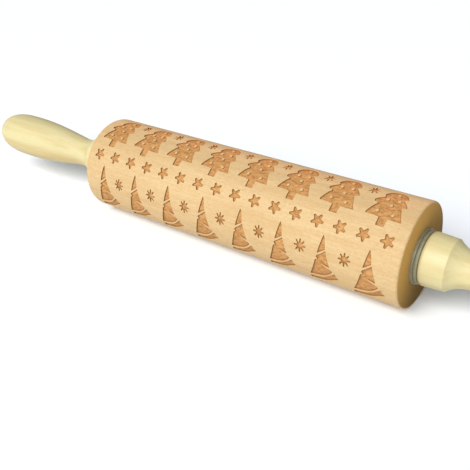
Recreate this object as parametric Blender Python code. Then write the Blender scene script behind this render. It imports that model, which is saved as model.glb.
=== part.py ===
"""Embossed rolling pin: a beech barrel with an engraved winter pattern, which turns on a steel
axle between two turned handles.

Metres, +Z up. The pin lies along X. The origin is under the middle of the barrel, on the surface
that the barrel rests on.
"""
import math

import bmesh
import bpy
from mathutils import Vector
from mathutils.geometry import delaunay_2d_cdt

for old_object in list(bpy.data.objects):
    bpy.data.objects.remove(old_object, do_unlink=True)

# Gaps between neighbouring pieces
SEAT_GAP = 0.0003
RUNNING_GAP = 0.0003

# Barrel
BARREL_DIAMETER = 0.060
BARREL_LENGTH = 0.221
BARREL_EDGE_RADIUS = 0.0012
BARREL_BORE_DIAMETER = 0.012

# Engraving
ENGRAVING_DEPTH = 0.0009
ENGRAVING_END_MARGIN = 0.003
MOTIF_PITCH = 0.02689
MOTIF_OFFSET = -0.0004
FIR_WIDTH = 0.0205
FIR_HEIGHT = 0.0303
SPIRE_WIDTH = 0.0200
SPIRE_HEIGHT = 0.0354
STAR_DIAMETER = 0.0076
FLAKE_DIAMETER = 0.0080

# Bushes and thrust washers
BUSH_SLEEVE_DIAMETER = 0.020
BUSH_SLEEVE_LENGTH = 0.018
BUSH_FLANGE_DIAMETER = 0.0314
BUSH_FLANGE_THICKNESS = 0.0012
BUSH_CHAMFER = 0.0003
WASHER_DIAMETER = 0.0300
WASHER_THICKNESS = 0.0013
WASHER_CHAMFER = 0.0002

# Axle
AXLE_DIAMETER = 0.008
AXLE_GRIP_LENGTH = 0.060
AXLE_CHAMFER = 0.0008

# Handles, from the barrel outwards: collar, ridge, neck, bulb and tip
HANDLE_LENGTH = 0.115
COLLAR_DIAMETER = 0.0301
COLLAR_EDGE_RADIUS = 0.0022
RIDGE_DIAMETER = 0.0287
RIDGE_DISTANCE = 0.0139
NECK_DIAMETER = 0.0190
NECK_DISTANCE = 0.0285
BULB_DIAMETER = 0.0294
BULB_DISTANCE = 0.0826

# How the handle's curves bend: 1 is even, and a higher power starts the curve more slowly
TAPER_POWER = 2.7
SWELL_POWER = 1.04
TIP_POWER = 0.66

# Facets round each turned piece, and steps along its curves
BARREL_SIDES = 48
TURNED_SIDES = 24
EDGE_STEPS = 3
TAPER_STEPS = 5
SWELL_STEPS = 6
TIP_STEPS = 7

# Edges that bend by more than this are shaded as edges
SHARP_ANGLE = math.radians(35)

# The engraving's layout: places round the barrel are shares of one repeat of the pattern
REPEATS_ROUND = 2
FIR_TIP_SHARE = -0.075
STAR_ROW_SHARE = 0.312
SPIRE_TIP_SHARE = 0.379
FLAKE_ROW_SHARES = (-0.011, 0.486)
STAR_TILT = math.radians(9.3)
STAR_POINTS = 5
STAR_NOTCH_SHARE = 0.50
FLAKE_ARMS = 8
FLAKE_NOTCH_SHARE = 0.45

# Outlines as shares of a motif's width, from its middle, and of its height, from its tip
FIR_OUTLINE_SHARES = (
    (0.02, 0.0), (0.21, 0.11), (0.32, 0.27), (0.22, 0.32), (0.35, 0.40), (0.44, 0.52),
    (0.29, 0.555), (0.40, 0.70), (0.50, 0.845), (0.125, 0.845), (0.12, 1.0), (-0.11, 1.0),
    (-0.11, 0.836), (-0.50, 0.83), (-0.44, 0.71), (-0.315, 0.56), (-0.46, 0.51), (-0.39, 0.415),
    (-0.255, 0.32), (-0.31, 0.26), (-0.22, 0.13),
)
SPIRE_OUTLINES_SHARES = (
    ((-0.02, 0.0), (0.025, 0.045), (0.06, 0.124), (0.085, 0.22), (0.005, 0.251), (-0.135, 0.302),
     (-0.08, 0.147)),
    ((0.11, 0.243), (0.195, 0.412), (0.26, 0.514), (0.115, 0.48), (-0.065, 0.427), (-0.155, 0.401),
     (-0.16, 0.364), (0.04, 0.28)),
    ((-0.17, 0.422), (-0.075, 0.447), (0.02, 0.48), (0.12, 0.515), (0.255, 0.547), (0.325, 0.588),
     (0.21, 0.678), (0.01, 0.768), (-0.285, 0.819), (-0.425, 0.831), (-0.275, 0.605)),
    ((0.39, 0.63), (0.42, 0.692), (0.50, 0.746), (0.27, 0.828), (0.12, 0.893), (-0.08, 0.952),
     (-0.48, 1.0), (-0.46, 0.907), (-0.13, 0.856), (0.115, 0.771), (0.315, 0.667)),
)

# Points of a mesh that are nearer than this are one point
WELD_DISTANCE = 0.000004

# Where the pieces lie
BARREL_RADIUS = BARREL_DIAMETER / 2
BARREL_FACE = BARREL_LENGTH / 2
AXIS_HEIGHT = BARREL_RADIUS
FLANGE_PLACE = BARREL_FACE + SEAT_GAP
WASHER_PLACE = FLANGE_PLACE + BUSH_FLANGE_THICKNESS + RUNNING_GAP
HANDLE_PLACE = WASHER_PLACE + WASHER_THICKNESS + SEAT_GAP
AXLE_HALF_LENGTH = HANDLE_PLACE + AXLE_GRIP_LENGTH


def finish_material(name, colour, roughness, metallic):
    material = bpy.data.materials.new(name)
    material.use_nodes = True
    shader = material.node_tree.nodes["Principled BSDF"]
    shader.inputs["Base Color"].default_value = (*colour, 1.0)
    shader.inputs["Roughness"].default_value = roughness
    shader.inputs["Metallic"].default_value = metallic
    return material


def add_piece(name, bm, material, place, turned_round=False, parent=None):
    """Make one named object whose origin lies on the barrel's axis, at a place along X."""
    bmesh.ops.recalc_face_normals(bm, faces=bm.faces)
    mesh = bpy.data.meshes.new(name)
    bm.to_mesh(mesh)
    bm.free()
    mesh.shade_smooth()
    mesh.set_sharp_from_angle(angle=SHARP_ANGLE)
    mesh.materials.append(material)
    piece = bpy.data.objects.new(name, mesh)
    bpy.context.scene.collection.objects.link(piece)
    piece.location = (place, 0, AXIS_HEIGHT)
    if turned_round:
        piece.rotation_euler = (0, 0, math.pi)
    if parent:
        piece.parent = parent
        piece.location = (place, 0, 0)


def turn_profile(bm, profile, sides, closed=False):
    """Turn a profile of (distance along X, radius) points about the X axis.

    The radii are those of the flats, so the corners stand out a little further.
    """
    half_facet = math.pi / sides
    points = []
    for along, radius in profile:
        corner = radius / math.cos(half_facet)
        points.append(bm.verts.new((along, corner * math.sin(half_facet), corner * math.cos(half_facet))))
    lines = [bm.edges.new(pair) for pair in zip(points, points[1:])]
    if closed:
        lines.append(bm.edges.new((points[-1], points[0])))
    bmesh.ops.spin(bm, geom=points + lines, cent=(0, 0, 0), axis=(1, 0, 0), dvec=(0, 0, 0),
                   angle=2 * math.pi, steps=sides, use_merge=True)
    bmesh.ops.remove_doubles(bm, verts=bm.verts, dist=WELD_DISTANCE)


def rounded_corner(along, radius, size, inwards):
    """Points of a rounded outer corner, from the round side to the face at a distance along X.

    inwards is +1 where the piece lies on the +X side of the face, and -1 where it lies on the -X side.
    """
    points = []
    for step in range(EDGE_STEPS + 1):
        angle = math.pi / 2 * step / EDGE_STEPS
        points.append((along + inwards * size * (1 - math.sin(angle)), radius - size * (1 - math.cos(angle))))
    return points


def outline(shares, width, height, across, down):
    return [Vector((across + x * width, down + y * height)) for x, y in shares]


def burst_outline(points, diameter, notch_share, tilt, across, down):
    """A star or a flake: points at the full diameter, with notches between them."""
    corners = []
    for corner in range(2 * points):
        angle = tilt + math.pi / 2 + math.pi * corner / points
        reach = diameter / 2 * (notch_share if corner % 2 else 1)
        corners.append(Vector((across + reach * math.cos(angle), down + reach * math.sin(angle))))
    return corners


def pattern_outlines():
    """Every pocket's outline on the flat pattern: x along the barrel, y round it from the top line."""
    room = BARREL_LENGTH - 2 * (BARREL_EDGE_RADIUS + ENGRAVING_END_MARGIN)
    widest = max(FIR_WIDTH, SPIRE_WIDTH)
    columns = 1 + int((room - widest) / MOTIF_PITCH)
    repeat_arc = math.pi * BARREL_DIAMETER / REPEATS_ROUND
    outlines = []
    for repeat in range(REPEATS_ROUND):
        start = repeat * repeat_arc
        for column in range(columns):
            across = MOTIF_OFFSET + (column - (columns - 1) / 2) * MOTIF_PITCH
            outlines.append(outline(FIR_OUTLINE_SHARES, FIR_WIDTH, FIR_HEIGHT,
                                    across, start + FIR_TIP_SHARE * repeat_arc))
            for shares in SPIRE_OUTLINES_SHARES:
                outlines.append(outline(shares, SPIRE_WIDTH, SPIRE_HEIGHT,
                                        across, start + SPIRE_TIP_SHARE * repeat_arc))
            for side in (-1, 1):
                outlines.append(burst_outline(STAR_POINTS, STAR_DIAMETER, STAR_NOTCH_SHARE, side * STAR_TILT,
                                              across + side * MOTIF_PITCH / 4,
                                              start + STAR_ROW_SHARE * repeat_arc))
            if column < columns - 1:
                for row_share in FLAKE_ROW_SHARES:
                    outlines.append(burst_outline(FLAKE_ARMS, FLAKE_DIAMETER, FLAKE_NOTCH_SHARE, 0,
                                                  across + MOTIF_PITCH / 2, start + row_share * repeat_arc))
    return outlines


def flat_pattern():
    """Cut the outlines into a flat sheet of one strip per facet, and say which cells are pockets."""
    circumference = math.pi * BARREL_DIAMETER
    strip = circumference / BARREL_SIDES
    low = -strip / 2
    end = BARREL_FACE - BARREL_EDGE_RADIUS
    points = []
    faces = []
    for line in range(BARREL_SIDES + 1):
        points += [Vector((-end, low + line * strip)), Vector((end, low + line * strip))]
    for line in range(BARREL_SIDES):
        corner = 2 * line
        faces.append([corner, corner + 1, corner + 3, corner + 2])
    for corners in pattern_outlines():
        for shift in (-circumference, 0, circumference):
            arcs = [point.y + shift for point in corners]
            if max(arcs) > low and min(arcs) < low + circumference:
                faces.append(list(range(len(points), len(points) + len(corners))))
                points += [point + Vector((0, shift)) for point in corners]
    cut = delaunay_2d_cdt(points, [], faces, 1, WELD_DISTANCE / 4)
    cells = []
    for cell, owners in zip(cut[2], cut[5]):
        if min(owners) < BARREL_SIDES:
            cells.append((cell, max(owners) >= BARREL_SIDES))
    return cut[0], cells


def wrap(across, arc):
    """Lay a point of the flat pattern on the barrel's facets."""
    facet = 2 * math.pi / BARREL_SIDES
    angle = arc / BARREL_RADIUS
    from_middle = angle - facet * round(angle / facet)
    reach = BARREL_RADIUS / math.cos(from_middle)
    return Vector((across, -reach * math.sin(angle), reach * math.cos(angle)))


def barrel():
    """The beech barrel: a turned body with its bore and bush seats, and the engraved skin on it."""
    bm = bmesh.new()
    pocket_mark = bm.faces.layers.int.new("pocket")
    flat_points, cells = flat_pattern()
    corners = [bm.verts.new(wrap(point.x, point.y)) for point in flat_points]
    for cell, is_pocket in cells:
        face = bm.faces.new([corners[index] for index in cell])
        face[pocket_mark] = is_pocket
    bmesh.ops.delete(bm, geom=[vert for vert in bm.verts if not vert.link_faces], context="VERTS")
    bmesh.ops.remove_doubles(bm, verts=bm.verts, dist=WELD_DISTANCE)
    bmesh.ops.recalc_face_normals(bm, faces=bm.faces)

    pocket_faces = [face for face in bm.faces if face[pocket_mark]]
    pressed = bmesh.ops.extrude_face_region(bm, geom=pocket_faces)
    floor_points = [item for item in pressed["geom"] if isinstance(item, bmesh.types.BMVert)]
    floor_share = 1 - ENGRAVING_DEPTH / BARREL_RADIUS
    bmesh.ops.scale(bm, verts=floor_points, vec=(1, floor_share, floor_share))
    bmesh.ops.delete(bm, geom=pocket_faces, context="FACES")

    seat_radius = BUSH_SLEEVE_DIAMETER / 2 + SEAT_GAP
    seat_end = FLANGE_PLACE - BUSH_SLEEVE_LENGTH - SEAT_GAP
    bore_radius = BARREL_BORE_DIAMETER / 2
    right_half = rounded_corner(BARREL_FACE, BARREL_RADIUS, BARREL_EDGE_RADIUS, -1)
    right_half += [(BARREL_FACE, seat_radius), (seat_end, seat_radius), (seat_end, bore_radius)]
    left_half = [(-along, radius) for along, radius in reversed(right_half)]
    turn_profile(bm, right_half + left_half, BARREL_SIDES)
    return bm


def bush():
    """A flanged plastic sleeve. Its flange's inner side is at zero, and its sleeve runs to -X."""
    sleeve = BUSH_SLEEVE_DIAMETER / 2
    flange = BUSH_FLANGE_DIAMETER / 2
    bore = AXLE_DIAMETER / 2 + RUNNING_GAP
    lip = BUSH_FLANGE_THICKNESS
    sleeve_end = -BUSH_SLEEVE_LENGTH
    bm = bmesh.new()
    profile = [
        (sleeve_end, bore), (sleeve_end, sleeve - BUSH_CHAMFER), (sleeve_end + BUSH_CHAMFER, sleeve),
        (0, sleeve), (0, flange), (lip - BUSH_CHAMFER, flange), (lip, flange - BUSH_CHAMFER), (lip, bore),
    ]
    turn_profile(bm, profile, TURNED_SIDES, closed=True)
    return bm


def thrust_washer():
    """A plastic ring that the handle's end runs against, with its inner side at zero."""
    rim = WASHER_DIAMETER / 2
    bore = AXLE_DIAMETER / 2 + SEAT_GAP
    bm = bmesh.new()
    profile = [
        (0, bore), (0, rim - WASHER_CHAMFER), (WASHER_CHAMFER, rim),
        (WASHER_THICKNESS - WASHER_CHAMFER, rim), (WASHER_THICKNESS, rim - WASHER_CHAMFER),
        (WASHER_THICKNESS, bore),
    ]
    turn_profile(bm, profile, TURNED_SIDES, closed=True)
    return bm


def axle():
    """The steel rod that runs through the barrel and into both handles."""
    radius = AXLE_DIAMETER / 2
    end = AXLE_HALF_LENGTH
    bm = bmesh.new()
    profile = [
        (-end, 0), (-end, radius - AXLE_CHAMFER), (AXLE_CHAMFER - end, radius),
        (end - AXLE_CHAMFER, radius), (end, radius - AXLE_CHAMFER), (end, 0),
    ]
    turn_profile(bm, profile, TURNED_SIDES)
    return bm


def handle():
    """A turned handle with a blind bore for the axle. Its inner end is at zero, its tip at +X."""
    collar = COLLAR_DIAMETER / 2
    ridge = RIDGE_DIAMETER / 2
    neck = NECK_DIAMETER / 2
    bulb = BULB_DIAMETER / 2
    bore = AXLE_DIAMETER / 2 + SEAT_GAP
    bore_end = AXLE_GRIP_LENGTH + SEAT_GAP
    profile = [(bore_end, 0), (bore_end, bore), (0, bore)]
    profile += reversed(rounded_corner(0, collar, COLLAR_EDGE_RADIUS, 1))
    for step in range(TAPER_STEPS):
        share = step / TAPER_STEPS
        along = RIDGE_DISTANCE + (NECK_DISTANCE - RIDGE_DISTANCE) * share
        profile.append((along, neck + (ridge - neck) * (1 - share) ** TAPER_POWER))
    for step in range(SWELL_STEPS):
        share = step / SWELL_STEPS
        rise = math.sin(math.pi / 2 * share) ** SWELL_POWER
        profile.append((NECK_DISTANCE + (BULB_DISTANCE - NECK_DISTANCE) * share, neck + (bulb - neck) * rise))
    for step in range(TIP_STEPS + 1):
        angle = math.pi / 2 * step / TIP_STEPS
        along = BULB_DISTANCE + (HANDLE_LENGTH - BULB_DISTANCE) * math.sin(angle) ** TIP_POWER
        profile.append((along, bulb * math.cos(angle)))
    bm = bmesh.new()
    turn_profile(bm, profile, TURNED_SIDES)
    return bm


beech = finish_material("beech", (0.78, 0.53, 0.33), 0.55, 0.0)
pale_wood = finish_material("pale_wood", (0.83, 0.76, 0.50), 0.50, 0.0)
grey_plastic = finish_material("grey_plastic", (0.38, 0.37, 0.34), 0.45, 0.0)
steel = finish_material("steel", (0.62, 0.62, 0.64), 0.30, 1.0)

# The handles, their washers and the axle turn as one in the barrel's bushes.
turning_set = bpy.data.objects.new("turning_set", None)
turning_set.location = (0, 0, AXIS_HEIGHT)
bpy.context.scene.collection.objects.link(turning_set)

add_piece("barrel", barrel(), beech, 0)
add_piece("axle", axle(), steel, 0, parent=turning_set)
for side_name, side in (("right", 1), ("left", -1)):
    on_left = side < 0
    add_piece(f"bush_{side_name}", bush(), grey_plastic, side * FLANGE_PLACE, on_left)
    add_piece(f"thrust_washer_{side_name}", thrust_washer(), grey_plastic, side * WASHER_PLACE, on_left,
              turning_set)
    add_piece(f"handle_{side_name}", handle(), pale_wood, side * HANDLE_PLACE, on_left, turning_set)
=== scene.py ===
"""Embossed rolling pin: an engraved beech barrel between two turned handles, on a white floor.

Metres, +Z up. The pin lies along X with its axis 30 mm above the floor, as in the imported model.
"""
import math

import bmesh
import bpy
from mathutils import Matrix, Vector
from mathutils.geometry import delaunay_2d_cdt, intersect_point_line


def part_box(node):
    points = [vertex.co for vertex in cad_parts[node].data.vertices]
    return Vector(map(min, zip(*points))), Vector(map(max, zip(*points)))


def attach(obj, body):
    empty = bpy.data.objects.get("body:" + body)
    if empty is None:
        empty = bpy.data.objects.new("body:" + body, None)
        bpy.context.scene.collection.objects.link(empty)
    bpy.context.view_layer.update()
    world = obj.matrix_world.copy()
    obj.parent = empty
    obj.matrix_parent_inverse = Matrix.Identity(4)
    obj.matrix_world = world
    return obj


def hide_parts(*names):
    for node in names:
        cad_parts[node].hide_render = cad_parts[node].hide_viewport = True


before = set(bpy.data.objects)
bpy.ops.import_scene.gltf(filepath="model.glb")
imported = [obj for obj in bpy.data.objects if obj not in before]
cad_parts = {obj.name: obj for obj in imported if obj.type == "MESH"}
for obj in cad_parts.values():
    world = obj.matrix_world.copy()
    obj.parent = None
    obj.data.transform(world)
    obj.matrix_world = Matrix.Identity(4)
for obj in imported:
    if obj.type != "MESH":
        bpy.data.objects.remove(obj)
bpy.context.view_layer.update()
MM = 0.001

# The barrel: one roller turned from a beech blank, with rounded ends, a bore for the axle and a
# seat for a bush at each end. A laser has burnt the winter pattern into it, which leaves toasted
# floors, darker walls, and small baubles at the full height of the wood. Its top and back half are
# made paler with painted light.
barrel_low, barrel_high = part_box("barrel")
BARREL_END = (barrel_high.x - barrel_low.x) / 2
BARREL_RADIUS = (barrel_high.z - barrel_low.z) / 2
AXIS_HEIGHT = (barrel_high.z + barrel_low.z) / 2
BARREL_EDGE_RADIUS = 1.2 * MM
BARREL_EDGE_STEPS = 6
BORE_RADIUS = 6 * MM
SEAT_RADIUS = 10.3 * MM
SEAT_DEPTH = 18 * MM
BARREL_STRIPS = 180
WELD_DISTANCE = 0.003 * MM
SHARP_ANGLE = 32

# The levels of the pattern, and the steps between them
LAND, POCKET, FLOOR, GROOVE = 0, 1, 2, 3
LIP_WIDTH = 0.04 * MM
LIP_DEPTH = 0.05 * MM
WALL_SLOPE = 0.04 * MM
POCKET_DEPTH = 0.7 * MM
GROOVE_SLOPE = 0.04 * MM
GROOVE_DEPTH = 0.15 * MM
CORNER_LIMIT = 1.5

# The flat pattern, in millimetres: along the barrel, and round it as an arc that is 0 on top and
# grows towards the front. The seam, in strips from the top, lies in the bare band behind the firs.
SEAM_STRIP = -13
COLUMNS = 8
COLUMN_PITCH = 26.89
COLUMN_SHIFT = -0.4
REPEATS = 2
REPEAT_ARC = 94.25
FIR_TIP_ARC = -7.3
STAR_ARC = 29.4
SPIRE_TIP_ARC = 35.66
FLAKE_ARCS = (-0.96, 45.84)
MOTIF_CORNER_STEPS = 3
FIR_CORNER = 0.45
SPIRE_CORNER = 0.4
STAR_CORNER = 0.3
FLAKE_CORNER = 0.2
STAR_TILT = 9.3
STAR = {"arms": 5, "reach": 3.95, "notch": 2.0, "tip": 0.62}
FLAKE = {"arms": 8, "reach": 4.2, "notch": 1.9, "tip": 0.45, "squash": 0.86}
BAUBLE_RADIUS = 0.9
BAUBLE_STEPS = 12
GARLAND_WIDTH = 0.6
RIM_WIDTH = 0.75
RIM_STEP = 0.8
RIM_TOLERANCE = 0.98

# Millimetres across from the middle of a column and down from the motif's tip
FIR = [
    (0.3, 0.0), (2.6, 1.7), (4.5, 3.6), (5.8, 6.0), (6.8, 8.5), (5.6, 9.3), (4.7, 9.8), (6.4, 11.6),
    (8.0, 13.7), (9.1, 15.7), (7.6, 16.4), (6.5, 16.9), (7.3, 19.0), (8.3, 21.6), (9.3, 24.0),
    (10.2, 25.7), (6.0, 25.75), (2.4, 25.6), (2.3, 30.2), (-2.4, 30.2), (-2.4, 25.4), (-6.0, 25.0),
    (-10.4, 25.0), (-10.2, 23.7), (-9.0, 21.0), (-7.6, 18.2), (-6.6, 16.9), (-7.3, 16.2),
    (-8.9, 16.2), (-9.6, 14.6), (-8.6, 13.0), (-7.2, 11.6), (-5.4, 10.1), (-6.5, 8.6),
    (-6.1, 6.5), (-5.0, 4.2), (-3.0, 1.8),
]
FIR_BAUBLES = [(0.3, 5.2), (3.0, 11.5), (-3.3, 12.1), (0.6, 16.5), (-4.8, 21.75), (4.1, 22.6)]
FIR_GARLANDS = [
    [(-4.3, 8.0), (-2.5, 9.2), (-0.2, 9.7), (2.2, 9.1), (3.9, 7.8)],
    [(-5.6, 17.0), (-3.6, 18.2), (-0.8, 18.9), (2.2, 18.7), (4.6, 18.0), (6.2, 17.0)],
]
SPIRE = [
    [(-0.4, 0.0), (0.5, 1.6), (1.2, 4.4), (1.9, 8.0), (0.1, 9.2), (-2.8, 11.2), (-2.2, 8.0),
     (-1.6, 5.2), (-1.0, 2.4)],
    [(2.2, 8.6), (2.9, 11.2), (3.9, 14.6), (5.0, 18.9), (2.6, 18.2), (0.4, 17.3), (2.4, 18.9),
     (5.6, 20.1), (6.5, 21.2), (5.4, 22.8), (4.2, 24.1), (2.3, 25.8), (0.2, 27.2), (-2.7, 28.3),
     (-5.7, 29.0), (-8.5, 29.4), (-7.0, 25.4), (-5.5, 21.4), (-4.3, 17.4), (-3.8, 15.4),
     (-2.3, 14.7), (-3.2, 13.9), (-3.2, 12.9), (-0.8, 11.2), (0.8, 9.9)],
    [(7.9, 22.0), (8.4, 24.5), (10.0, 26.4), (7.9, 27.9), (5.4, 29.3), (2.4, 31.6), (-1.6, 33.7),
     (-5.6, 34.8), (-9.6, 35.4), (-9.0, 31.4), (-5.6, 30.8), (-2.6, 29.8), (0.2, 28.4),
     (2.3, 26.9), (4.4, 25.1), (6.4, 23.2)],
]


def softened(points, corner):
    """The outline with each of its corners rounded."""
    bm = bmesh.new()
    corners = [bm.verts.new((across, down, 0)) for across, down in points]
    bm.faces.new(corners)
    bmesh.ops.bevel(bm, geom=corners, offset=corner, affect="VERTICES",
                    segments=MOTIF_CORNER_STEPS, profile=0.5, material=-1)
    bm.faces.ensure_lookup_table()
    rounded = [(vert.co.x, vert.co.y) for vert in bm.faces[0].verts]
    bm.free()
    return rounded


def burst(arms, reach, notch, tip, tilt=0, squash=1):
    """A star or a flake: arms with blunt tips out to reach, and notches between them."""
    corners = []
    for arm in range(arms):
        outwards = math.radians(tilt + 90 + 360 * arm / arms)
        between = outwards + math.pi / arms
        for aside in (-tip, tip):
            corners.append((reach * math.cos(outwards) - aside * math.sin(outwards),
                            reach * math.sin(outwards) + aside * math.cos(outwards)))
        corners.append((notch * math.cos(between), notch * math.sin(between)))
    return [(squash * across, down) for across, down in corners]


def bauble(across, down):
    turns = [2 * math.pi * step / BAUBLE_STEPS for step in range(BAUBLE_STEPS)]
    return [(across + BAUBLE_RADIUS * math.cos(turn), down + BAUBLE_RADIUS * math.sin(turn))
            for turn in turns]


def garland(line):
    """The outline of a narrow band along a line, half as wide at both ends."""
    upper, lower = [], []
    last = len(line) - 1
    for index, point in enumerate(line):
        along = Vector(line[min(index + 1, last)]) - Vector(line[max(index - 1, 0)])
        width = GARLAND_WIDTH if 0 < index < last else GARLAND_WIDTH / 2
        aside = Vector((along.y, -along.x)).normalized() * width / 2
        upper.append(tuple(Vector(point) + aside))
        lower.append(tuple(Vector(point) - aside))
    return upper + lower[::-1]


def closest_on_side(point, start, end):
    closest, share = intersect_point_line(point, start, end)
    if share < 0:
        return start
    return end if share > 1 else closest


def inside_rim(outline):
    """The outline of a pocket's floor inside its toasted rim, empty where the pocket is narrow."""
    corners = [Vector(point) for point in outline]
    sides = list(zip(corners, corners[1:] + corners[:1]))
    turn = math.copysign(1, sum(start.cross(end) for start, end in sides))
    inner = []
    for start, end in sides:
        along = end - start
        aside = Vector((-along.y, along.x)).normalized() * turn * RIM_WIDTH
        steps = 1 + int(along.length / RIM_STEP)
        for step in range(steps):
            point = start + along * step / steps + aside
            nearest = min((point - closest_on_side(point, *side)).length for side in sides)
            if nearest > RIM_TOLERANCE * RIM_WIDTH:
                inner.append(tuple(point))
    return inner if len(inner) > 2 else []


def engraving():
    """Every outline of the flat pattern, in metres, with its level."""
    stars = {side: softened(burst(**STAR, tilt=side * STAR_TILT), STAR_CORNER) for side in (-1, 1)}
    motifs = {
        "fir": [softened(FIR, FIR_CORNER)],
        "spire": [softened(part, SPIRE_CORNER) for part in SPIRE],
        "left star": [stars[-1]],
        "right star": [stars[1]],
        "flake": [softened(burst(**FLAKE), FLAKE_CORNER)],
    }
    outlines = {}
    for name, parts in motifs.items():
        outlines[name] = [(part, POCKET) for part in parts]
        outlines[name] += [(inside_rim(part), FLOOR) for part in parts]
    outlines["fir"] += [(garland(line), GROOVE) for line in FIR_GARLANDS]
    outlines["fir"] += [(bauble(across, down), LAND) for across, down in FIR_BAUBLES]
    placed = []
    for repeat in range(REPEATS):
        start = repeat * REPEAT_ARC
        for column in range(COLUMNS):
            middle = (column - (COLUMNS - 1) / 2) * COLUMN_PITCH
            placed.append(("fir", middle + COLUMN_SHIFT, start + FIR_TIP_ARC))
            placed.append(("spire", middle + COLUMN_SHIFT, start + SPIRE_TIP_ARC))
            placed.append(("left star", middle - COLUMN_PITCH / 4, start + STAR_ARC))
            placed.append(("right star", middle + COLUMN_PITCH / 4, start + STAR_ARC))
            if column < COLUMNS - 1:
                between = middle + COLUMN_SHIFT + COLUMN_PITCH / 2
                placed += [("flake", between, start + arc) for arc in FLAKE_ARCS]
    return [([Vector((x + across, y + down)) * MM for x, y in outline], level)
            for name, across, down in placed for outline, level in outlines[name] if outline]


def sheet_on_barrel(bm, level_mark, rim_mark):
    """Cut the pattern into a flat sheet of one strip per facet, and wrap it round the barrel.

    The rim mark is 0 on the floors inside the toasted rim, and 1 everywhere else.
    """
    strip = 2 * math.pi * BARREL_RADIUS / BARREL_STRIPS
    end = BARREL_END - BARREL_EDGE_RADIUS
    points, regions, levels = [], [], []
    for line in range(BARREL_STRIPS + 1):
        arc = (SEAM_STRIP + line) * strip
        points += [Vector((-end, arc)), Vector((end, arc))]
    for line in range(BARREL_STRIPS):
        regions.append([2 * line, 2 * line + 1, 2 * line + 3, 2 * line + 2])
        levels.append(LAND)
    for outline, level in engraving():
        regions.append(list(range(len(points), len(points) + len(outline))))
        levels.append(level)
        points += outline
    inside_only = 1
    flat, _, cells, _, _, owners = delaunay_2d_cdt(points, [], regions, inside_only,
                                                   WELD_DISTANCE / 4)
    wrapped = []
    for point in flat:
        angle = point.y / BARREL_RADIUS
        wrapped.append(bm.verts.new((point.x, -BARREL_RADIUS * math.sin(angle),
                                     AXIS_HEIGHT + BARREL_RADIUS * math.cos(angle))))
        wrapped[-1][rim_mark] = 1
    for cell, inside in zip(cells, owners):
        face = bm.faces.new([wrapped[index] for index in cell])
        # Where outlines overlap, the one that was added last gives the level
        face[level_mark] = levels[max(inside)]
        if any(levels[region] == FLOOR for region in inside):
            for vert in face.verts:
                vert[rim_mark] = 0


def drawn_to_axis(bm, verts, depth, radius):
    """Scale points about the pin's axis, so that those at the radius sink by the depth."""
    shrink = 1 - depth / radius
    bmesh.ops.scale(bm, verts=verts, vec=(1, shrink, shrink),
                    space=Matrix.Translation((0, 0, -AXIS_HEIGHT)))


def pressed(bm, faces, drawn_in, depth):
    """Push faces of the barrel's skin towards the axis, draw their outline in, and return them."""
    grown = bmesh.ops.extrude_face_region(bm, geom=faces)["geom"]
    bmesh.ops.delete(bm, geom=faces, context="FACES")
    region = [item for item in grown if isinstance(item, bmesh.types.BMFace)]
    in_region = set(region)
    inwards = {item: Vector() for item in grown if isinstance(item, bmesh.types.BMVert)}
    for face in region:
        face.normal_update()
        for loop in face.loops:
            if len(in_region.intersection(loop.edge.link_faces)) == 1:
                along = (loop.link_loop_next.vert.co - loop.vert.co).normalized()
                for vert in loop.edge.verts:
                    inwards[vert] += face.normal.cross(along)
    for vert, into in inwards.items():
        if into.length > 0:
            # A corner moves further than a side, so that both of its walls get the same slope
            vert.co += into.normalized() * drawn_in * min(2 / into.length, CORNER_LIMIT)
    drawn_to_axis(bm, list(inwards), depth, BARREL_RADIUS)
    return region


def spun(bm, profile, steps, closed=False):
    """Turn a profile of (distance along X, radius) points about the pin's axis."""
    points = [bm.verts.new((along, 0, AXIS_HEIGHT + radius)) for along, radius in profile]
    lines = [bm.edges.new(pair) for pair in zip(points, points[1:])]
    if closed:
        lines.append(bm.edges.new((points[-1], points[0])))
    bmesh.ops.spin(bm, geom=points + lines, cent=(0, 0, AXIS_HEIGHT), axis=(1, 0, 0),
                   dvec=(0, 0, 0), angle=2 * math.pi, steps=steps, use_merge=True)


def rounded_edge(along, radius, size, inwards, steps):
    """Profile points of a rounded outer edge, from the round side to the face at along."""
    points = []
    for step in range(steps + 1):
        angle = math.pi / 2 * step / steps
        points.append((along + inwards * size * (1 - math.sin(angle)),
                       radius - size * (1 - math.cos(angle))))
    return points


def finished(name, bm, material, body, node, sharp_angle=SHARP_ANGLE):
    """Make the piece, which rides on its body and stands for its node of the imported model."""
    bmesh.ops.remove_doubles(bm, verts=bm.verts, dist=WELD_DISTANCE)
    bmesh.ops.recalc_face_normals(bm, faces=bm.faces)
    mesh = bpy.data.meshes.new(name)
    bm.to_mesh(mesh)
    bm.free()
    mesh.shade_smooth()
    mesh.set_sharp_from_angle(angle=math.radians(sharp_angle))
    mesh.materials.append(material)
    piece = bpy.data.objects.new(name, mesh)
    bpy.context.scene.collection.objects.link(piece)
    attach(piece, body)
    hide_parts(node)


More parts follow.
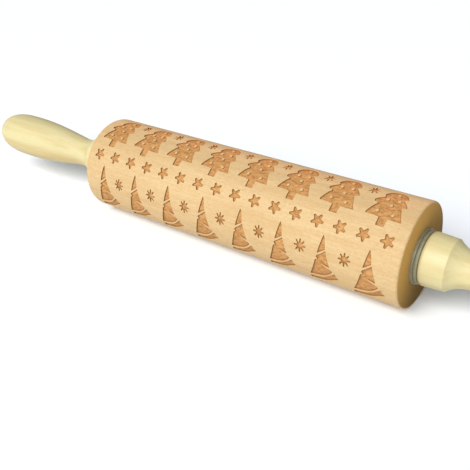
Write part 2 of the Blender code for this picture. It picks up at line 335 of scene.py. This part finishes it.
bm = bmesh.new()
level_mark = bm.faces.layers.int.new("level")
sheet_on_barrel(bm, level_mark, bm.verts.layers.float.new("rim"))
bmesh.ops.delete(bm, geom=[vert for vert in bm.verts if not vert.link_faces], context="VERTS")
bmesh.ops.remove_doubles(bm, verts=bm.verts, dist=WELD_DISTANCE)
bmesh.ops.recalc_face_normals(bm, faces=bm.faces)
lips = pressed(bm, [face for face in bm.faces if face[level_mark] != LAND], LIP_WIDTH, LIP_DEPTH)
floors = pressed(bm, lips, WALL_SLOPE, POCKET_DEPTH - LIP_DEPTH)
pressed(bm, [face for face in floors if face[level_mark] == GROOVE], GROOVE_SLOPE, GROOVE_DEPTH)
right_half = rounded_edge(BARREL_END, BARREL_RADIUS, BARREL_EDGE_RADIUS, -1, BARREL_EDGE_STEPS)
right_half += [(BARREL_END, SEAT_RADIUS), (BARREL_END - SEAT_DEPTH, SEAT_RADIUS),
               (BARREL_END - SEAT_DEPTH, BORE_RADIUS)]
left_half = [(-along, radius) for along, radius in reversed(right_half)]
spun(bm, right_half + left_half, BARREL_STRIPS)


class Signal:
    """One output of a shader node. Sums and products of signals add their Math nodes."""

    def __init__(self, socket):
        self.socket = socket

    def node(self, kind, settings, inputs, output=0):
        """Add a node of this kind to the signal's tree: first its settings, then its inputs."""
        tree = self.socket.id_data
        made = tree.nodes.new(kind)
        for name, value in settings.items():
            setattr(made, name, value)
        for name, value in inputs.items():
            if isinstance(value, Signal):
                tree.links.new(value.socket, made.inputs[name])
            else:
                made.inputs[name].default_value = value
        return Signal(made.outputs[output])

    def math(self, operation, other, swapped=False):
        pair = (other, self) if swapped else (self, other)
        return self.node("ShaderNodeMath", {"operation": operation}, dict(enumerate(pair)))

    def __add__(self, other):
        return self.math("ADD", other)

    __radd__ = __add__

    def __mul__(self, other):
        return self.math("MULTIPLY", other)

    __rmul__ = __mul__

    def __sub__(self, other):
        return self.math("SUBTRACT", other)

    def __rsub__(self, other):
        return self.math("SUBTRACT", other, swapped=True)


def new_finish(name):
    """A material, its shader, and the signal of a place on the piece."""
    material = bpy.data.materials.new(name)
    material.use_nodes = True
    tree = material.node_tree
    place = Signal(tree.nodes.new("ShaderNodeTexCoord").outputs["Object"])
    return material, tree.nodes["Principled BSDF"], place


def feed(shader, name, signal):
    shader.id_data.links.new(signal.socket, shader.inputs[name])


def feed_bumps(shader, height, strength, distance):
    """Let the surface rise and fall with a height signal."""
    feed(shader, "Normal", height.node("ShaderNodeBump", {}, {
        "Height": height, "Strength": strength, "Distance": distance}))


def stretched(place, sizes, origin=(0, 0, 0)):
    """The place counted in steps of these sizes along X, Y and Z, from an origin."""
    scale = [1 / size for size in sizes]
    shift = [-start / size for start, size in zip(origin, sizes)]
    return place.node("ShaderNodeMapping", {}, {"Vector": place, "Location": shift, "Scale": scale})


def noise(place, sizes, detail=2, roughness=0.5):
    return place.node("ShaderNodeTexNoise", {}, {
        "Vector": stretched(place, sizes), "Scale": 1, "Detail": detail, "Roughness": roughness})


def step_up(signal, low, high):
    """0 below low, 1 above high, and a smooth rise between them."""
    return signal.node("ShaderNodeMapRange", {"interpolation_type": "SMOOTHSTEP"},
                       {"Value": signal, "From Min": low, "From Max": high})


def blend(share, first, second, how="MIX"):
    """From the first colour to the second as share goes from 0 to 1."""
    colours = [colour if isinstance(colour, Signal) else (*colour, 1) for colour in (first, second)]
    # A Mix node's two colours are its inputs 6 and 7, and the mixed colour is its output 2
    return share.node("ShaderNodeMix", {"data_type": "RGBA", "blend_type": how},
                      {0: share, 6: colours[0], 7: colours[1]}, output=2)


def layered(colour, *layers):
    """Lay colours over one: each shows where its signal goes from low to high, at its strength."""
    for signal, low, high, strength, over in layers:
        colour = blend(step_up(signal, low, high) * strength, colour, over)
    return colour


def coordinate(place, axis):
    return place.node("ShaderNodeSeparateXYZ", {}, {0: place}, output="XYZ".index(axis))


def distance_from_line(place, centre):
    """How far a place is from the line along X through a centre."""
    crosswise = place.node("ShaderNodeVectorMath", {"operation": "MULTIPLY"},
                           {0: stretched(place, (1, 1, 1), centre), 1: (0, 1, 1)})
    return crosswise.node("ShaderNodeVectorMath", {"operation": "LENGTH"}, {0: crosswise},
                          output="Value")


BEECH_PALE = (0.572, 0.415, 0.215)
BEECH_WARM = (0.528, 0.362, 0.178)
BEECH_RING = (0.479, 0.315, 0.149)
BEECH_FLECK = (0.387, 0.223, 0.095)
BURNT_FLOOR = (0.515, 0.273, 0.1)
BURNT_FLOOR_DARK = (0.32, 0.148, 0.048)
BURNT_WALL = (0.32, 0.147, 0.05)
BURNT_RIM = (0.28, 0.132, 0.041)
END_GRAIN = (0.705, 0.42, 0.119)
# Painted shade: the end grain's colour where it is darkest, towards the back and bottom of each end
# face
END_GRAIN_PAINTED_SHADE = (0.2, 0.123, 0.034)
END_GRAIN_TINT = (0.74, 0.68, 0.62)
# Painted light: a tint that makes the top and the back half of the barrel paler
TOP_PAINTED_LIGHT = (1.27, 1.19, 1.2)
END_GRAIN_STRENGTH, WALL_STRENGTH = 0.5, 0.5
BEECH_SHEEN = 0.12
BEECH_ROUGHNESS = 0.52
STREAK_ROUGHNESS, BURNT_ROUGHNESS, END_GRAIN_ROUGHNESS = 0.1, 0.25, 0.35

# The sizes of the grain along X, Y and Z, where the middle of the trunk lay, and the distances from
# it over which the painted shade on the end faces fades out
STREAKS = (60 * MM, 3.5 * MM, 3.5 * MM)
FIBRES = (12 * MM, 0.5 * MM, 0.5 * MM)
FLECKS = (3 * MM, 0.28 * MM, 0.28 * MM)
MOTTLE = (2.2 * MM, 0.7 * MM, 0.7 * MM)
TOAST = (2.6 * MM, 1.3 * MM, 1.3 * MM)
END_FIBRES = (10 * MM, 1.2 * MM, 1.2 * MM)
RINGS = (900 * MM, 130 * MM, 130 * MM)
RINGS_PER_SIZE = 16
PITH_AND_SHADE_CENTRE = (0, 53 * MM, -55 * MM)
END_SHADE_FADE = (79 * MM, 128 * MM)

# Where one look gives way to the next: distances along X or Y, and depths below the skin. Beyond
# the pattern's end the rounded edge also lies below the skin, and isn't burnt.
END_FACE_START = (BARREL_END - 0.25 * MM, BARREL_END - 0.02 * MM)
PATTERN_END = (106 * MM, 106.8 * MM)
# Where the painted light on the barrel's top begins, across Y
TOP_PAINTED_LIGHT_START = (-11 * MM, 0)
BURNT_FROM = (0.08 * MM, 0.25 * MM)
WALL_HEAD = (0.15 * MM, 0.4 * MM)
WALL_FOOT = (POCKET_DEPTH - 0.25 * MM, POCKET_DEPTH - 0.03 * MM)
GROOVE_WALL = (POCKET_DEPTH + 0.04 * MM, POCKET_DEPTH + 0.2 * MM)

beech, beech_shader, place = new_finish("beech")
beech_shader.inputs["Specular IOR Level"].default_value = BEECH_SHEEN
streaks = noise(place, STREAKS, detail=4)
fibres = noise(place, FIBRES, detail=3)
rings = place.node("ShaderNodeTexWave",
                   {"wave_type": "RINGS", "rings_direction": "X", "wave_profile": "SAW"},
                   {"Vector": stretched(place, RINGS, PITH_AND_SHADE_CENTRE), "Scale": RINGS_PER_SIZE,
                    "Distortion": 3, "Detail": 2, "Detail Scale": 0.9}, output="Fac")
wood = layered(BEECH_PALE,
               (streaks, 0.35, 0.70, 1.0, BEECH_WARM),
               (rings, 0.55, 1.0, 0.22, BEECH_RING),
               (fibres, 0.40, 0.72, 0.45, BEECH_RING),
               (noise(place, FLECKS, detail=1), 0.66, 0.74, 0.45, BEECH_FLECK),
               (noise(place, MOTTLE, detail=4, roughness=0.7), 0.42, 0.72, 0.42, BEECH_FLECK))

from_middle = coordinate(place, "X").math("ABSOLUTE", 0)
end_face = step_up(from_middle, *END_FACE_START)
# Painted shade on the end faces: they darken towards the back and the bottom, nearer the trunk's
# middle line
out_of_end_shade = step_up(distance_from_line(place, PITH_AND_SHADE_CENTRE), *END_SHADE_FADE)
end_wood = blend(out_of_end_shade, END_GRAIN_PAINTED_SHADE, END_GRAIN)
for lines in (step_up(rings, low=0.35, high=1.0), noise(place, END_FIBRES, detail=4)):
    end_wood = blend(lines * END_GRAIN_STRENGTH, end_wood, END_GRAIN_TINT, how="MULTIPLY")
wood = blend(end_face, wood, end_wood)

depth = BARREL_RADIUS - distance_from_line(place, (0, 0, AXIS_HEIGHT))
burnt = step_up(depth, *BURNT_FROM) * (1 - step_up(from_middle, *PATTERN_END))
toast = step_up(noise(place, TOAST, detail=5, roughness=0.7), low=0.36, high=0.66)
on_wall = step_up(depth, *WALL_HEAD) * (1 - step_up(depth, *WALL_FOOT))
rim = place.node("ShaderNodeAttribute", {"attribute_name": "rim"}, {}, output="Fac")
pocket = blend(toast, BURNT_FLOOR, BURNT_FLOOR_DARK)
pocket = layered(pocket, (depth, *GROOVE_WALL, 0.6, BURNT_WALL))
pocket = blend(on_wall * WALL_STRENGTH, pocket, BURNT_WALL)
pocket = layered(pocket, (rim, 0.0, 0.6, 0.7, BURNT_RIM))
wood = blend(burnt, wood, pocket)
# Painted light: the wood is made paler over the top and back half of the barrel, but not on its end
# faces
painted_top_light = step_up(coordinate(place, "Y"), *TOP_PAINTED_LIGHT_START) * (1 - end_face)
feed(beech_shader, "Base Color", blend(painted_top_light, wood, TOP_PAINTED_LIGHT, how="MULTIPLY"))
feed(beech_shader, "Roughness", BEECH_ROUGHNESS + streaks * STREAK_ROUGHNESS
     + burnt * BURNT_ROUGHNESS + end_face * END_GRAIN_ROUGHNESS)
feed_bumps(beech_shader, fibres + toast * burnt, strength=0.35, distance=0.12 * MM)
finished("engraved_barrel", bm, beech, "barrel", "barrel")

# The bushes: a flanged sleeve of grey moulded plastic, pushed into the seat at each end of the
# barrel. The axle turns in its bore, and its flange keeps the handle off the end grain.
FLANGE_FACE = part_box("bush_right")[1].x
FLANGE_RADIUS = 15.7 * MM
FLANGE_EDGE = 0.15 * MM
FLANGE_EDGE_STEPS = 4
SLEEVE_LENGTH = 18 * MM
SLEEVE_RADIUS = 10 * MM
BUSH_BORE = 4.3 * MM
BUSH_STRIPS = 96
PLASTIC_GREY = (0.24, 0.225, 0.14)
PLASTIC_SHADE = (0.198, 0.18, 0.107)
PLASTIC_ROUGHNESS = 0.36
CLOUD_ROUGHNESS = 0.16
PLASTIC_CLOUDS = (4 * MM, 4 * MM, 4 * MM)
PLASTIC_PITS = (0.4 * MM, 0.4 * MM, 0.4 * MM)

plastic, plastic_shader, place = new_finish("grey_plastic")
clouds = noise(place, PLASTIC_CLOUDS, detail=4)
feed(plastic_shader, "Base Color", layered(PLASTIC_GREY, (clouds, 0.35, 0.7, 1.0, PLASTIC_SHADE)))
feed(plastic_shader, "Roughness", PLASTIC_ROUGHNESS + clouds * CLOUD_ROUGHNESS)
feed_bumps(plastic_shader, noise(place, PLASTIC_PITS), strength=0.2, distance=0.03 * MM)


def mirrored(profile, side):
    return [(side * along, radius) for along, radius in profile]


sleeve_end = BARREL_END - SLEEVE_LENGTH
bush_profile = [(sleeve_end, BUSH_BORE), (sleeve_end, SLEEVE_RADIUS - FLANGE_EDGE),
                (sleeve_end + FLANGE_EDGE, SLEEVE_RADIUS), (BARREL_END, SLEEVE_RADIUS),
                (BARREL_END, FLANGE_RADIUS)]
bush_profile += rounded_edge(FLANGE_FACE, FLANGE_RADIUS, FLANGE_EDGE, -1, FLANGE_EDGE_STEPS)
bush_profile.append((FLANGE_FACE, BUSH_BORE))
for name, side in (("right", 1), ("left", -1)):
    bm = bmesh.new()
    spun(bm, mirrored(bush_profile, side), BUSH_STRIPS, closed=True)
    finished(f"moulded_bush_{name}", bm, plastic, "barrel", f"bush_{name}")

# The thrust washers: a ring of the same plastic on each side, with fine ribs moulded round its
# rim. It turns with the handle and runs against the bush's flange.
WASHER_GAP = 0.05 * MM
WASHER_START = FLANGE_FACE + WASHER_GAP
WASHER_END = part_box("handle_right")[0].x
WASHER_RADIUS = 15 * MM
WASHER_BORE = 4.3 * MM
WASHER_EDGE = 0.12 * MM
RIBS = 72
RIB_DEPTH = 0.15 * MM
# The steps from one rib to the next, and those of them that lie in the valley
RIB_STEPS = 4
VALLEY_STEPS = (1, 2)
RIBS_SHARP_ANGLE = 50

washer_profile = [(WASHER_START, WASHER_BORE), (WASHER_START, WASHER_RADIUS - WASHER_EDGE),
                  (WASHER_START + WASHER_EDGE, WASHER_RADIUS),
                  (WASHER_END - WASHER_EDGE, WASHER_RADIUS),
                  (WASHER_END, WASHER_RADIUS - WASHER_EDGE), (WASHER_END, WASHER_BORE)]
for name, side in (("right", 1), ("left", -1)):
    bm = bmesh.new()
    spun(bm, mirrored(washer_profile, side), RIBS * RIB_STEPS, closed=True)
    valleys = []
    for vert in bm.verts:
        across, up = vert.co.y, vert.co.z - AXIS_HEIGHT
        step = round(math.atan2(across, up) / (2 * math.pi) * RIBS * RIB_STEPS)
        on_rim = math.hypot(across, up) > WASHER_RADIUS - 2 * WASHER_EDGE
        if on_rim and step % RIB_STEPS in VALLEY_STEPS:
            valleys.append(vert)
    drawn_to_axis(bm, valleys, RIB_DEPTH, WASHER_RADIUS)
    finished(f"ribbed_washer_{name}", bm, plastic, "handles", f"thrust_washer_{name}",
             sharp_angle=RIBS_SHARP_ANGLE)

# The axle: one drawn steel rod through the barrel, glued in both handles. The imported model's own
# rod stays, with the faint lengthwise lines that drawing leaves.
STEEL = (0.58, 0.58, 0.60)
STEEL_LINE = (0.40, 0.40, 0.42)
STEEL_ROUGHNESS = 0.24
DRAWN_LINE_ROUGHNESS = 0.16
DRAWN_LINES = (50 * MM, 0.3 * MM, 0.3 * MM)

steel, steel_shader, place = new_finish("drawn_steel")
steel_shader.inputs["Metallic"].default_value = 1
drawn_lines = noise(place, DRAWN_LINES, detail=3)
feed(steel_shader, "Base Color", layered(STEEL, (drawn_lines, 0.4, 0.75, 1.0, STEEL_LINE)))
feed(steel_shader, "Roughness", STEEL_ROUGHNESS + drawn_lines * DRAWN_LINE_ROUGHNESS)
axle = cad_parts["axle"]
axle.data.materials.clear()
axle.data.materials.append(steel)

# The handles: turned from pale close-grained wood and sanded smooth, with a short collar, a hollow
# neck, a long swelling bulb and a rounded tip. A blind bore takes the end of the axle. The left
# one has a browner band low on its near side: real grain streaks, with painted warm shade.
HANDLE_START, HANDLE_END = (corner.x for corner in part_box("handle_right"))
HANDLE_LENGTH = HANDLE_END - HANDLE_START
HANDLE_BORE = 4.3 * MM
HANDLE_BORE_DEPTH = 60.3 * MM
HANDLE_STRIPS = 96
COLLAR_RADIUS, COLLAR_EDGE, COLLAR_EDGE_STEPS = 15.05 * MM, 2.2 * MM, 8
RIDGE_RADIUS, RIDGE_DISTANCE = 14.35 * MM, 13.9 * MM
NECK_RADIUS, NECK_DISTANCE = 9.5 * MM, 28.5 * MM
BULB_RADIUS, BULB_DISTANCE = 14.7 * MM, 82.6 * MM
TAPER_STEPS, TAPER_POWER = 16, 2.7
SWELL_STEPS, SWELL_POWER = 24, 1.04
TIP_STEPS, TIP_POWER = 24, 0.66
PALE_WOOD = (0.566, 0.498, 0.265)
PALE_WOOD_SHADE = (0.505, 0.42, 0.196)
PALE_WOOD_LINE = (0.44, 0.348, 0.168)
PALE_WOOD_SHEEN = 0.35
PALE_WOOD_ROUGHNESS = 0.40
HAIR_ROUGHNESS = 0.14
FIGURE = (110 * MM, 5 * MM, 5 * MM)
HAIRS = (9 * MM, 0.5 * MM, 0.5 * MM)
# A browner band low on the left handle's near side: its streaks are grain, and its place on the
# shaded underside is painted warm shade
STREAK_AND_SHADE_BROWN = (0.5, 0.37, 0.155)
SHADED_BAND_CENTRE = (0, -12.3 * MM, 21.4 * MM)
BAND_STREAKS = (60 * MM, 1.1 * MM, 1.1 * MM)
BAND_WAVER = 8 * MM
BAND_EDGE = (5.5 * MM, 11 * MM)
BAND_STRENGTH, BAND_STREAK_STRENGTH = 0.4, 0.5
LEFT_SIDE = (-1 * MM, 0)

pale_wood, pale_shader, place = new_finish("pale_wood")
pale_shader.inputs["Specular IOR Level"].default_value = PALE_WOOD_SHEEN
hairs = noise(place, HAIRS, detail=4, roughness=0.6)
pale = layered(PALE_WOOD,
               (noise(place, FIGURE, detail=3), 0.40, 0.72, 1.0, PALE_WOOD_SHADE),
               (hairs, 0.45, 0.80, 0.3, PALE_WOOD_LINE))
grain = noise(place, BAND_STREAKS, detail=3)
# Painted warm shade, with grain streaks in it, low on the near side of the left handle
from_band_middle = distance_from_line(place, SHADED_BAND_CENTRE) + (grain - 0.5) * BAND_WAVER
in_shaded_band = 1 - step_up(from_band_middle, *BAND_EDGE)
on_left = 1 - step_up(coordinate(place, "X"), *LEFT_SIDE)
brown = BAND_STRENGTH + step_up(grain, low=0.35, high=0.65) * BAND_STREAK_STRENGTH
feed(pale_shader, "Base Color", blend(in_shaded_band * on_left * brown, pale, STREAK_AND_SHADE_BROWN))
feed(pale_shader, "Roughness", PALE_WOOD_ROUGHNESS + hairs * HAIR_ROUGHNESS)
feed_bumps(pale_shader, hairs, strength=0.2, distance=0.06 * MM)

handle_profile = [(HANDLE_BORE_DEPTH, 0), (HANDLE_BORE_DEPTH, HANDLE_BORE), (0, HANDLE_BORE)]
handle_profile += rounded_edge(0, COLLAR_RADIUS, COLLAR_EDGE, 1, COLLAR_EDGE_STEPS)[::-1]
for step in range(TAPER_STEPS):
    share = step / TAPER_STEPS
    rise = (1 - share) ** TAPER_POWER
    handle_profile.append((RIDGE_DISTANCE + (NECK_DISTANCE - RIDGE_DISTANCE) * share,
                           NECK_RADIUS + (RIDGE_RADIUS - NECK_RADIUS) * rise))
for step in range(SWELL_STEPS):
    share = step / SWELL_STEPS
    rise = math.sin(math.pi / 2 * share) ** SWELL_POWER
    handle_profile.append((NECK_DISTANCE + (BULB_DISTANCE - NECK_DISTANCE) * share,
                           NECK_RADIUS + (BULB_RADIUS - NECK_RADIUS) * rise))
for step in range(TIP_STEPS + 1):
    angle = math.pi / 2 * step / TIP_STEPS
    share = math.sin(angle) ** TIP_POWER
    handle_profile.append((BULB_DISTANCE + (HANDLE_LENGTH - BULB_DISTANCE) * share,
                           BULB_RADIUS * math.cos(angle)))
handle_profile = [(HANDLE_START + along, radius) for along, radius in handle_profile]
for name, side in (("right", 1), ("left", -1)):
    bm = bmesh.new()
    spun(bm, mirrored(handle_profile, side), HANDLE_STRIPS)
    finished(f"turned_handle_{name}", bm, pale_wood, "handles", f"handle_{name}")

# The studio: a wide white floor, one large soft light low in front, and a white surround. The
# camera looks down over the pin's right end, as in the photo.
FLOOR_SIZE = 6.0
FLOOR_WHITE = (0.905, 0.935, 0.98)
FLOOR_ROUGHNESS = 0.9
LIGHT_LOOK = Vector((0.10, 0.78, -0.62))
LIGHT_SPREAD = 39
LIGHT_STRENGTH = 3.95
SURROUND = (1.0, 1.0, 1.0)
SURROUND_STRENGTH = 0.34
CAMERA_PLACE = (0.21773, -0.31891, 0.21731)
CAMERA_LOOK = Vector((-0.51231, 0.71388, -0.47739))
CAMERA_LENS = 53.70
CAMERA_NEAR = 10 * MM

bm = bmesh.new()
bmesh.ops.create_grid(bm, x_segments=1, y_segments=1, size=FLOOR_SIZE / 2)
floor_mesh = bpy.data.meshes.new("floor")
bm.to_mesh(floor_mesh)
bm.free()
floor = bpy.data.objects.new("floor", floor_mesh)
bpy.context.scene.collection.objects.link(floor)
white, white_shader, _ = new_finish("floor_white")
white_shader.inputs["Base Color"].default_value = (*FLOOR_WHITE, 1)
white_shader.inputs["Roughness"].default_value = FLOOR_ROUGHNESS
floor_mesh.materials.append(white)

light = bpy.data.lights.new("soft_light", "SUN")
light.energy = LIGHT_STRENGTH
light.angle = math.radians(LIGHT_SPREAD)
lamp = bpy.data.objects.new("soft_light", light)
lamp.rotation_euler = LIGHT_LOOK.to_track_quat("-Z", "Y").to_euler()
bpy.context.scene.collection.objects.link(lamp)

world = bpy.data.worlds.new("surround")
world.use_nodes = True
background = world.node_tree.nodes["Background"]
background.inputs["Color"].default_value = (*SURROUND, 1)
background.inputs["Strength"].default_value = SURROUND_STRENGTH
bpy.context.scene.world = world
bpy.context.scene.view_settings.view_transform = "Standard"

lens = bpy.data.cameras.new("camera")
lens.lens = CAMERA_LENS
lens.clip_start = CAMERA_NEAR
camera = bpy.data.objects.new("camera", lens)
camera.location = CAMERA_PLACE
camera.rotation_euler = CAMERA_LOOK.to_track_quat("-Z", "Y").to_euler()
bpy.context.scene.collection.objects.link(camera)
bpy.context.scene.camera = camera
